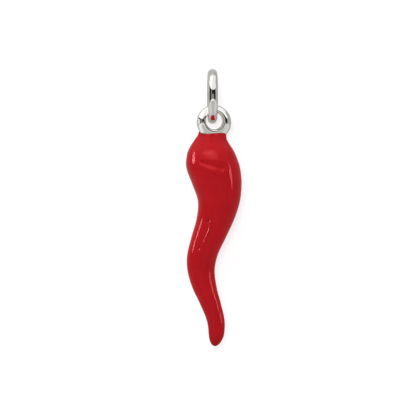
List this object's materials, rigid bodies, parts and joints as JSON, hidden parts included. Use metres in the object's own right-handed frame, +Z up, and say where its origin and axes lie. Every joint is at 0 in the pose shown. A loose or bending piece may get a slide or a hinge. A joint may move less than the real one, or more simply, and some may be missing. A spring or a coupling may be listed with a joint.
{
  "type": "cornicello horn pendant",
  "caption": "Curved horn pendant: a silver horn in glossy red enamel, tapering through an S to a rounded tip, hung by its cast loop from a round jump ring.",
  "frame": {"origin": "the inside of the jump ring at its top, where a chain bears and the pendant hangs from", "axes": "+Z up, along the hanging pendant; +X to the right of the front view, along the chain and the axis of the ring's hole; +Y to the back, along the wire that the horn swings on"},
  "size_m": [0.007, 0.0068, 0.0348],
  "materials": {
    "ring_silver": "polished",
    "cast_silver": "polished",
    "red_enamel": "gloss"
  },
  "bodies": {
    "ring": {"jump_ring": "ring_silver"},
    "horn": {"silver_core": "cast_silver", "enamel_coat": "red_enamel"}
  },
  "joints": [
    {"name": "horn_swing", "type": "hinge", "parent": "ring", "child": "horn", "pos_m": [0, 0, -0.0051], "axis": [0, 1, 0], "range_deg": [-90, 90]}
  ]
}
